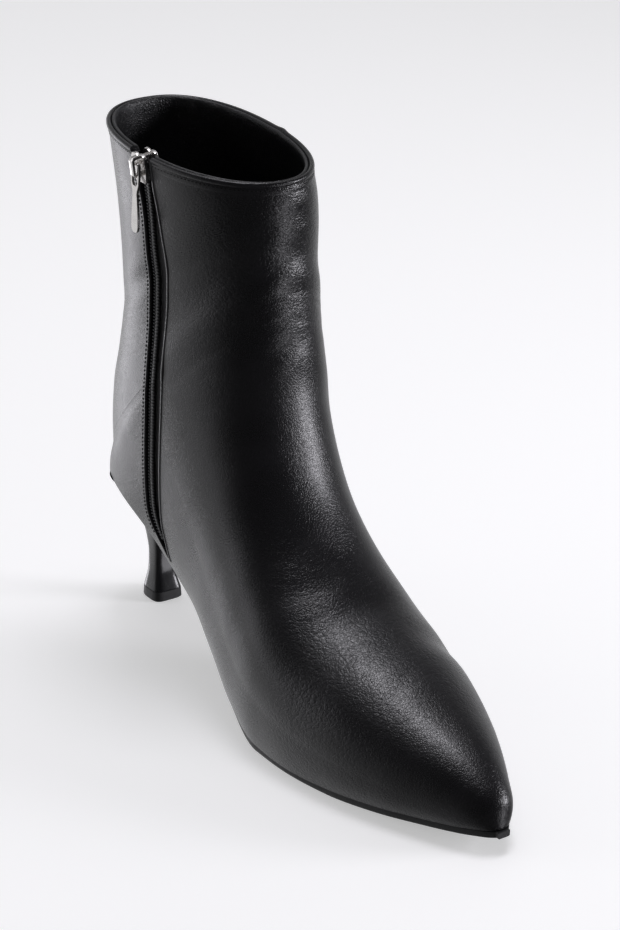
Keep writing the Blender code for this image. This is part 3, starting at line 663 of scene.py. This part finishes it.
def slot_edges(height):
    """Rear and front edge of the slot off the zip's middle: wide at the slider, a V at the foot."""
    rise = min(max((height - SLIDER_FOOT_HEIGHT + 25) / 23, 0.0), 1.0)
    down = min(max(1 - (height - SLOT_FOOT_HEIGHT) / SLOT_FOOT_LENGTH, 0.0), 1.0) ** 2
    rear = SLOT_REAR + (SLIDER_HALF + 0.5 - SLOT_REAR) * rise**3
    front = SLOT_FRONT + (SLIDER_HALF + 0.6 - SLOT_FRONT) * rise
    rear = -rear + (rear + SLOT_FOOT_AHEAD - 0.5) * down
    front = front + (SLOT_FOOT_AHEAD + 0.5 - front) * down
    return rear, front


def strip_ring(height, side, profile):
    """A ring round a strip on the wall, from places off the zip's middle and off the face."""
    slant = FOOT_SLANT * max(1 - (height - LINE_FOOT_HEIGHT) / 25, 0.0)
    return [wall_point(side, line_forward(height) + edge, height + slant * edge, off)
            for edge, off in profile]


FAR_FROM_SEAM = 9.0


def mark(piece, seam=FAR_FROM_SEAM, flex=0.0):
    """Tells the leather how far each point lies from the outer seam, and how much it flexes."""
    for name, values in (("seam", seam), ("flex", flex)):
        layer = piece.data.attributes.new(name, "FLOAT", "POINT")
        layer.data.foreach_set("value", np.full(len(piece.data.vertices), values, dtype=np.float32))


def loft(name, rings, finishes, sharp=35.0, lengthwise=False):
    """A closed solid through rings of like points; its UV map runs round and along, in metres."""
    shape = bmesh.new()
    layer = shape.loops.layers.uv.new("UVMap")
    rings = [np.asarray(ring, dtype=float) for ring in rings]
    grid = [[shape.verts.new(point) for point in world(ring)] for ring in rings]
    along = np.concatenate([[0.0], np.cumsum(
        [np.linalg.norm(b.mean(0) - a.mean(0)) for a, b in zip(rings, rings[1:])])]) * MM
    count = len(rings[0])
    middle_ring = rings[len(rings) // 2]
    round_it = np.concatenate([[0.0], np.cumsum(
        [np.linalg.norm(middle_ring[(i + 1) % count] - middle_ring[i]) for i in range(count)])]) * MM
    for k, (low, high) in enumerate(zip(grid, grid[1:])):
        for i in range(count):
            j = (i + 1) % count
            face = shape.faces.new((low[i], low[j], high[j], high[i]))
            corners = ((i, k), (i + 1, k), (i + 1, k + 1), (i, k + 1))
            for loop, (across, up_by) in zip(face.loops, corners):
                loop[layer].uv = (round_it[across], along[up_by])
    for ring in (grid[0], grid[-1]):
        if lengthwise:
            for i in range(len(ring) // 2 - 1):
                shape.faces.new((ring[i], ring[i + 1], ring[-i - 2], ring[-i - 1]))
        else:
            shape.faces.new(ring)
    return new_piece(name, shape, finishes, sharp)


foot_heights = np.linspace(SLOT_FOOT_HEIGHT, SLOT_FOOT_HEIGHT + SLOT_FOOT_LENGTH, 13)
slot_rings = []
for height in (*foot_heights, *np.linspace(60.0, 168.0, 46), *np.linspace(170.0, 199.0, 16)):
    rear, front = slot_edges(height)
    middle = (rear + front) / 2
    slot_rings.append(strip_ring(height, -1, [
        (rear, 5.0), (middle, 5.0), (front, 5.0), (front, -7.0), (middle, -7.0), (rear, -7.0)]))
slot_rings.append([point + np.array([0.0, 0.0, 20.0]) for point in slot_rings[-1]])
slot_cutter = loft("slot cutter", slot_rings, [])
slot_cut = rough_upper.modifiers.new("slot", "BOOLEAN")
slot_cut.operation = "DIFFERENCE"
slot_cut.object = slot_cutter
upper = settle(rough_upper, "upper_panels")
bpy.data.objects.remove(slot_cutter)

spots = np.empty(len(upper.data.vertices) * 3)
upper.data.vertices.foreach_get("co", spots)
spots = spots.reshape(-1, 3) / MM
side_mm = spots[:, 0] + ORIGIN_SIDE
forward_mm = ORIGIN_FORWARD - spots[:, 1]
seam_off = np.where(side_mm > 6, forward_mm - line_forward(spots[:, 2]), FAR_FROM_SEAM)
shaft_front = np.exp(-((forward_mm - 98) / 22) ** 2) * np.clip((spots[:, 2] - 128) / 26, 0, 1)
vamp_flex = np.exp(-((forward_mm - 172) / 24) ** 2) * 0.8
vamp_flex += np.exp(-((forward_mm - 205) / 18) ** 2) * 0.4
mark(upper, np.clip(seam_off, -FAR_FROM_SEAM, FAR_FROM_SEAM), np.clip(shaft_front + vamp_flex, 0, 1))
upper.data.shade_smooth()
upper.data.set_sharp_from_angle(angle=math.radians(50))
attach(upper, "boot")
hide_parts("upper")


# Collar edge. The leather is turned over a tape at the top and stitched down, and the lining
# is turned against it, so that two soft rolls lie side by side with a dark line between them.
collar_profile = [
    (0.02, -4.7), (0.14, -4.2), (0.18, -3.5), (0.18, -2.9), (0.16, -2.4), (0.10, -2.15), (-0.14, -1.9),
    (0.34, -1.6), (0.62, -1.0), (0.56, -0.4), (0.20, 0.14), (-0.30, 0.34), (-0.85, 0.22),
    (-1.22, -0.20), (-1.42, -0.85), (-1.62, -0.15), (-2.10, 0.20), (-2.65, 0.10), (-3.05, -0.45),
    (-3.20, -1.4), (-3.16, -3.2), (-3.0, -4.6), (-2.0, -4.6), (-1.0, -4.6),
]


def collar_line(drop):
    """The collar's outer edge, or a line below it, from the slot's front round to its rear."""
    rows = []
    for place in (COLLAR, COLLAR - ROLL_FOOT):
        section = Section(*(float(value) for value in section_at(float(place))))
        inner, outer = [
            [skin_point(section, share, side) for share in section_shares(section, side, 120)]
            for side in (-1, 1)
        ]
        rows.append(np.array(inner[::-1] + outer[1:]))
    top, below = rows
    down = below - top
    down /= np.linalg.norm(down, axis=1, keepdims=True)
    line = top + down * drop
    off = line[:, 1] - line_forward(line[:, 2])
    half = len(line) // 2
    slot_width = SLIDER_HALF + 0.9
    front_start = np.nonzero((np.arange(len(line)) < half) & (off > slot_width))[0][0]
    rear_end = np.nonzero((np.arange(len(line)) < half) & (off < -slot_width))[0][-1]
    order = [*range(front_start, len(line)), *range(1, rear_end + 1)]
    return line[order], -down[order]


def outward_of(line, rise):
    """The way off the shaft's face at each point of a line round it."""
    out = np.cross(np.gradient(line, axis=0), rise)
    out /= np.linalg.norm(out, axis=1, keepdims=True)
    if np.mean(np.sum(out * (line - line.mean(0)), axis=1)) < 0:
        out = -out
    return out


SEAM_BUMP, SEAM_BUMP_WIDTH, LINING_FROM = 0.45, 2.6, -1.4
collar_edge, collar_up = collar_line(0.0)
collar_out = outward_of(collar_edge, collar_up)
collar_rings = []
for edge, rise, out in zip(collar_edge, collar_up, collar_out):
    off_seam = edge[1] - float(line_forward(edge[2]))
    bump = SEAM_BUMP * math.exp(-(off_seam / SEAM_BUMP_WIDTH) ** 2) * (edge[0] > 0)
    ring = []
    for n, u in collar_profile:
        outwards = n + (bump if n > -1.3 else 0.0)
        upwards = u + (bump * 0.6 if u > -1 else 0.0)
        ring.append(edge + out * outwards + rise * upwards)
    collar_rings.append(ring)
collar = loft("collar_roll", collar_rings, [upper_leather, dark_lining], sharp=60.0)
mark(collar)
for face in collar.data.polygons:
    centre = np.array(face.center) / MM + np.array([ORIGIN_SIDE, 0.0, 0.0])
    centre[1] = ORIGIN_FORWARD - centre[1]
    nearest = int(np.argmin(np.sum((collar_edge - centre) ** 2, axis=1)))
    face.material_index = int((centre - collar_edge[nearest]) @ collar_out[nearest] < LINING_FROM)
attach(collar, "boot")


# Zip edges. Both leather edges beside the zip are folded under, which leaves a thin rounded
# rim behind the chain and a fuller lip in front of it.
EDGE_TOP, EDGE_TAPER = 204.4, 1.2


def zip_edge(name, which, profile):
    """A folded edge along the slot: which is 0 for its rear edge and 1 for its front one."""
    rings = []
    for height in np.linspace(SLOT_FOOT_HEIGHT - 0.6, EDGE_TOP, 90):
        edge = slot_edges(max(height, SLOT_FOOT_HEIGHT))[which]
        top = float(np.clip((EDGE_TOP - height) / EDGE_TAPER, 0.15, 1.0))
        rings.append(strip_ring(height, -1, [(edge + a, b * top) for a, b in profile]))
    piece = loft(name, rings, [upper_leather], sharp=60.0)
    mark(piece)
    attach(piece, "boot")


def rim(width, height, sink, shift):
    """An oval profile for a folded edge, as places off the edge and off the face."""
    turns = np.linspace(0, 2 * math.pi, 14, endpoint=False)
    return [(shift + width * math.cos(t), sink + height * math.sin(t)) for t in turns]


zip_edge("zip_edge_rear", 0, rim(0.75, 0.85, -0.55, -0.25))
zip_edge("zip_edge_front", 1, rim(0.95, 0.95, -0.60, 0.35))


# Stitches. Lockstitch in waxed black thread: one row under the collar roll, one behind the
# zip's rear edge, and one that holds the front panel to the tape.
thread = Finish("black_thread", (0.003, 0.003, 0.0035), 0.7, Specular_IOR_Level=0.2)
thread_at = thread.place()
black_thread = thread.finish(
    colour=thread.between(thread.noise(thread_at, 1.2), (0.002, 0.002, 0.0025), (0.005, 0.005, 0.006)),
    height=thread.noise(thread_at, 0.25), depth=0.05)


LINK_SEGMENTS, LINK_RINGS = 8, 6


def repeat_along(name, line, finish, pitch, size, facing=(0.0, 0.0, 1.0)):
    """Rounded links along a line, made by Geometry Nodes: pitch and size are its inputs."""
    tree = bpy.data.node_groups.new(name, "GeometryNodeTree")
    tree.interface.new_socket("Geometry", in_out="INPUT", socket_type="NodeSocketGeometry")
    tree.interface.new_socket("Geometry", in_out="OUTPUT", socket_type="NodeSocketGeometry")
    pitch_input = tree.interface.new_socket("Pitch", in_out="INPUT", socket_type="NodeSocketFloat")
    size_input = tree.interface.new_socket("Link size", in_out="INPUT", socket_type="NodeSocketVector")
    face_input = tree.interface.new_socket("Faces", in_out="INPUT", socket_type="NodeSocketVector")
    coming = tree.nodes.new("NodeGroupInput")
    going = tree.nodes.new("NodeGroupOutput")

    def add(kind, **settings):
        node = tree.nodes.new(kind)
        for key, value in settings.items():
            setattr(node, key, value)
        return node

    path = add("GeometryNodeMeshToCurve")
    even = add("GeometryNodeResampleCurve", mode="LENGTH")
    link = add("GeometryNodeMeshUVSphere")
    link.inputs["Segments"].default_value = LINK_SEGMENTS
    link.inputs["Rings"].default_value = LINK_RINGS
    link.inputs["Radius"].default_value = 1.0
    tangent = add("GeometryNodeInputTangent")
    turned = add("FunctionNodeAlignRotationToVector", axis="X")
    faced = add("FunctionNodeAlignRotationToVector", axis="Z", pivot_axis="X")
    placed = add("GeometryNodeInstanceOnPoints")
    real = add("GeometryNodeRealizeInstances")
    smooth = add("GeometryNodeSetShadeSmooth")
    painted = add("GeometryNodeSetMaterial")
    painted.inputs["Material"].default_value = finish
    join = tree.links.new
    join(coming.outputs["Geometry"], path.inputs[0])
    join(path.outputs[0], even.inputs["Curve"])
    join(coming.outputs["Pitch"], even.inputs["Length"])
    join(even.outputs[0], placed.inputs["Points"])
    join(link.outputs["Mesh"], placed.inputs["Instance"])
    join(tangent.outputs[0], turned.inputs["Vector"])
    join(turned.outputs[0], faced.inputs["Rotation"])
    join(coming.outputs["Faces"], faced.inputs["Vector"])
    join(faced.outputs[0], placed.inputs["Rotation"])
    join(coming.outputs["Link size"], placed.inputs["Scale"])
    join(placed.outputs[0], real.inputs[0])
    join(real.outputs[0], smooth.inputs[0])
    join(smooth.outputs[0], painted.inputs["Geometry"])
    join(painted.outputs[0], going.inputs["Geometry"])

    mesh = bpy.data.meshes.new(name)
    points = world(line)
    steps = [(i, i + 1) for i in range(len(points) - 1)]
    mesh.from_pydata([tuple(point) for point in points], steps, [])
    carrier = bpy.data.objects.new(name, mesh)
    bpy.context.scene.collection.objects.link(carrier)
    modifier = carrier.modifiers.new(name, "NODES")
    modifier.node_group = tree
    modifier[pitch_input.identifier] = pitch * MM
    modifier[size_input.identifier] = tuple(s * MM for s in size)
    modifier[face_input.identifier] = tuple(facing)
    piece = settle(carrier, name)
    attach(piece, "boot")
    return piece


stitch_line, stitch_up = collar_line(2.75)
stitch_out = outward_of(stitch_line, stitch_up)
STITCH_PITCH, STITCH_SIZE = 1.6, (0.52, 0.26, 0.24)
StitchRow = namedtuple("StitchRow", "name line")
for row in (
    StitchRow("collar_stitches", stitch_line + stitch_out * 0.08),
    StitchRow("zip_rear_stitches", [
        wall_point(-1, line_forward(h) + slot_edges(h)[0] - 1.7, h, 0.06)
        for h in np.linspace(52, 200, 60)]),
    StitchRow("zip_front_stitches", [
        wall_point(-1, line_forward(h) + 0.7 + 0.7 * slot_edges(h)[1], h, -2.5)
        for h in np.linspace(58, 182, 50)]),
):
    stitches = repeat_along(row.name, row.line, black_thread, STITCH_PITCH, STITCH_SIZE)


# Zip tape. A woven black polyester tape sewn behind the slot.
TAPE_FACE, TAPE_BACK, TAPE_REAR, TAPE_FRONT = -2.6, -3.3, 8.0, 11.5
tape_weave = Finish("woven_tape", (0.012, 0.012, 0.013), 0.8, Sheen_Weight=0.15)
weave_at = tape_weave.place(uv=True)
split = tape_weave.node("ShaderNodeSeparateXYZ", {"Vector": weave_at})
RIB_PITCH, PICK_PITCH = 0.55, 0.7
ribs = (Reading(tape_weave, split.outputs[0]) * (2 * math.pi / RIB_PITCH)).sine()
picks = (Reading(tape_weave, split.outputs[1]) * (2 * math.pi / PICK_PITCH)).sine()
# The weave is also painted into the colour: its raised crests are a painted highlight and its hollows a
# painted shade, both following the bump.
woven_tape = tape_weave.finish(
    colour=tape_weave.between(
        (ribs * picks) * 0.5 + 0.5, (0.006, 0.006, 0.007), (0.020, 0.020, 0.022)),
    height=ribs * picks * 0.5 + tape_weave.noise(weave_at, 0.4) * 0.3, depth=0.12)
tape_edges = (-TAPE_REAR, -6.5, -5.0, -3.5, -2.0, -0.2, 1.5, 3.2, 5.0, 6.6, 8.3, 10.0, TAPE_FRONT)
tape_profile = [(e, TAPE_FACE) for e in tape_edges] + [(e, TAPE_BACK) for e in tape_edges[::-1]]
tape = loft(
    "zip_tape_woven",
    [strip_ring(height, -1, tape_profile) for height in np.linspace(43.5, 196.5, 80)],
    [woven_tape], lengthwise=True)
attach(tape, "boot")
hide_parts("zip_tape")


# Zip chain. Two coils of black nylon wire, hooked into each other and sewn to the tape: each
# turn shows as a short rounded bar, and the two rows of bars lie half a pitch apart.
CHAIN_FOOT, CORD_TOP, COIL_TOP = 50.5, 194.0, 194.5
COIL_PITCH, COIL_BAR, COIL_FACING = 1.3, (0.42, 1.15, 0.55), (-1.0, 0.0, 0.0)
nylon = Finish("black_nylon", (0.006, 0.006, 0.007), 0.36, Specular_IOR_Level=0.5)
black_nylon = nylon.finish(
    colour=nylon.between(nylon.noise(nylon.place(), 2.0), (0.004, 0.004, 0.005), (0.010, 0.010, 0.011)))
cord_turns = np.linspace(0, 2 * math.pi, 10, endpoint=False)
cord_profile = [(1.6 * math.cos(t), -1.55 + 0.75 * math.sin(t)) for t in cord_turns]
chain_cord = loft(
    "zip_chain_cord",
    [strip_ring(height, -1, cord_profile) for height in np.linspace(CHAIN_FOOT, CORD_TOP, 70)],
    [black_nylon], sharp=60.0)
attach(chain_cord, "boot")
chain_heights = np.linspace(CHAIN_FOOT, COIL_TOP, 120)
for name, edge, start in (("zip_coil_rear", -1.15, 0.0), ("zip_coil_front", 1.15, 0.65)):
    line = [wall_point(-1, line_forward(h) + edge, h, -1.05) for h in chain_heights + start]
    coil = repeat_along(name, line, black_nylon, COIL_PITCH, COIL_BAR, facing=COIL_FACING)
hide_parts("zip_teeth")


# Slider and pull. The part's own solids with their edges rounded: cast zinc with a bright
# nickel finish, dulled a little by handling.
CASTING_ROUND = 0.24
nickel = Finish("polished_nickel", (0.60, 0.585, 0.57), 0.2, Metallic=1.0)
nickel_at = nickel.place()
polished_nickel = nickel.finish(
    colour=nickel.between(nickel.noise(nickel_at, 4.0), (0.52, 0.505, 0.49), (0.68, 0.66, 0.645)),
    roughness=0.12 + nickel.noise(nickel_at, 1.4, 4.0) * 0.14,
    height=nickel.noise(nickel_at, 0.8, 3.0), depth=0.015)
for name, node, body in (("slider_cast", "zip_slider", "boot"), ("pull_tab", "zip_pull", "pull")):
    shape = bmesh.new()
    shape.from_mesh(frame["nodes"][node].data)
    bmesh.ops.remove_doubles(shape, verts=shape.verts, dist=0.01 * MM)
    bmesh.ops.dissolve_limit(
        shape, angle_limit=math.radians(2), verts=shape.verts, edges=shape.edges,
        use_dissolve_boundaries=False)
    casting = new_piece(name, shape, [polished_nickel], sharp=40.0)
    rounding = casting.modifiers.new("rounding", "BEVEL")
    rounding.width = CASTING_ROUND * MM
    rounding.segments = 2
    rounding.angle_limit = math.radians(30)
    casting = settle(casting, name)
    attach(casting, body)
    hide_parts(node)


# Outsole. A thin moulded rubber sole, cemented on, with a small squared tip at the toe.
SOLE, OUTSOLE_BACK = 2.5, 45.4
rubber = Finish("sole_rubber", (0.010, 0.010, 0.011), 0.55)
rubber_at = rubber.place()
sole_rubber = rubber.finish(
    colour=rubber.between(rubber.noise(rubber_at, 12.0), (0.007, 0.007, 0.008), (0.016, 0.016, 0.017)),
    roughness=0.48 + rubber.noise(rubber_at, 2.0) * 0.2,
    height=rubber.noise(rubber_at, 0.7, 3.0), depth=0.08)
TIP_HALF, TIP_REACH, TIP_EDGE, RECESS = 2.6, 0.9, 0.6, 0.3
breast = float(np.interp(-OUTSOLE_BACK, -FINE.base_along[FOOT_PART], FINE_PLACES[FOOT_PART]))
sole_rings = []
for place in [*np.arange(0, breast - 0.06, 1 / 10), breast]:
    waist = min(max((place - 8.0) / 3.0, 0.0), 1.0)
    edges = []
    for side in (-1, 1):
        edge = TIP_EDGE * max(1 - place / 3, 0.0) - RECESS
        across, forward = sole_edge(place, side, 2.0 * waist - edge)
        middle = swing(forward)
        across = middle + side * max(abs(across - middle), TIP_HALF)
        forward += TIP_REACH * max(1 - place, 0.0)
        top = base_height(min(forward, LENGTH), -GAP)
        low = max(top - SOLE, 0.0)
        edges.append([(across - side * 0.15, forward, top), (across, forward, top - 0.3),
                      (across, forward, low + 0.5), (across - side * 0.15, forward, low + 0.2),
                      (across - side * 0.5, forward, low)])
    sole_rings.append(edges[0] + edges[1][::-1])
outsole = loft("outsole_unit", sole_rings, [sole_rubber], sharp=40.0, lengthwise=True)
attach(outsole, "boot")
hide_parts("outsole")


# Heel. A moulded plastic heel wrapped in glossy black leather, its breast flat and its back
# round, with a hard rubber top piece nailed under it.
HeelLevel = namedtuple("HeelLevel", "height back front half")
HEEL_LEVELS = [
    HeelLevel(None, 4.8, 44.8, 25.2),
    HeelLevel(48.0, 5.8, 34.0, 15.2),
    HeelLevel(42.0, 6.9, 28.5, 10.8),
    HeelLevel(35.0, 8.5, 24.6, 7.7),
    HeelLevel(27.0, 10.2, 21.6, 5.5),
    HeelLevel(19.0, 11.3, 20.8, 4.6),
    HeelLevel(12.0, 11.1, 21.3, 4.9),
    HeelLevel(4.5, 9.6, 24.0, 6.7),
]
LIFT_LEVELS = [HeelLevel(4.2, 9.6, 24.0, 6.7), HeelLevel(3.8, 9.5, 24.1, 6.8),
               HeelLevel(0.3, 9.3, 24.4, 7.0), HeelLevel(0.0, 9.6, 24.1, 6.7)]
HEEL_TURNS, SEAT_LEVEL = 64, 52.0


def heel_ring(level, seated=0.0):
    """A D-shaped ring, round behind and nearly square at its front; the top one lies on the seat."""
    middle = 21.0 * seated + (level.back + level.front) / 2 * (1 - seated)
    ring = []
    for turn in range(HEEL_TURNS):
        angle = 2 * math.pi * (turn + 0.5) / HEEL_TURNS
        squareness = 4.5 if math.sin(angle) > 0 else 2.1
        reach = level.front - middle if math.sin(angle) > 0 else middle - level.back
        across = level.half * math.copysign(abs(math.cos(angle)) ** (2 / squareness), math.cos(angle))
        forward = middle + reach * math.copysign(
            abs(math.sin(angle)) ** (2 / squareness), math.sin(angle))
        height = level.height
        if seated:
            height = base_height(forward, -GAP) * seated + level.height * (1 - seated)
        ring.append((across, forward, height))
    return ring


cover = Finish("heel_cover", (0.005, 0.005, 0.006), 0.24, Coat_Weight=0.2, Coat_Roughness=0.14)
cover_at = cover.place()
heel_cover = cover.finish(
    colour=cover.between(cover.noise(cover_at, 6.0), (0.004, 0.004, 0.005), (0.008, 0.008, 0.009)),
    roughness=0.22 + cover.noise(cover_at, 2.0, 3.0) * 0.08,
    height=cover.noise(cover_at, 1.1, 3.0), depth=0.03)
heel_columns = {
    name: smooth_through(np.array([
        SEAT_LEVEL if name == "height" and level.height is None else getattr(level, name)
        for level in HEEL_LEVELS], dtype=float), 0)
    for name in HeelLevel._fields}
heel_rings = []
for step in np.linspace(0, len(HEEL_LEVELS) - 1, 57):
    level = HeelLevel(*(float(heel_columns[name](step)) for name in HeelLevel._fields))
    heel_rings.append(heel_ring(level, max(1 - step, 0.0)))
heel = loft("heel_covered", heel_rings, [heel_cover], sharp=50.0)
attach(heel, "boot")
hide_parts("heel")
top_piece = loft("heel_lift", [heel_ring(level) for level in LIFT_LEVELS], [sole_rubber], sharp=40.0)
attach(top_piece, "boot")
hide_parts("heel_top_piece")


# Insole. A fibre board covered with a thin dark sock lining, inside the turned-in margin.
INSOLE, SOCK_CLEAR = 2.2, 1.4
sock_rings = []
for place in np.arange(0, SEAT_BACK + 1e-9, 1 / 8):
    ring = []
    for side, lifts in ((-1, (0.0, INSOLE)), (1, (INSOLE, 0.0))):
        across, forward = sole_edge(place, side, WALL + SOCK_CLEAR)
        ring += [(across, forward, base_height(forward, WALL + GAP + lift)) for lift in lifts]
    sock_rings.append(ring)
sock = loft("sock_lining", sock_rings, [dark_lining], sharp=40.0)
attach(sock, "boot")
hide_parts("insole")
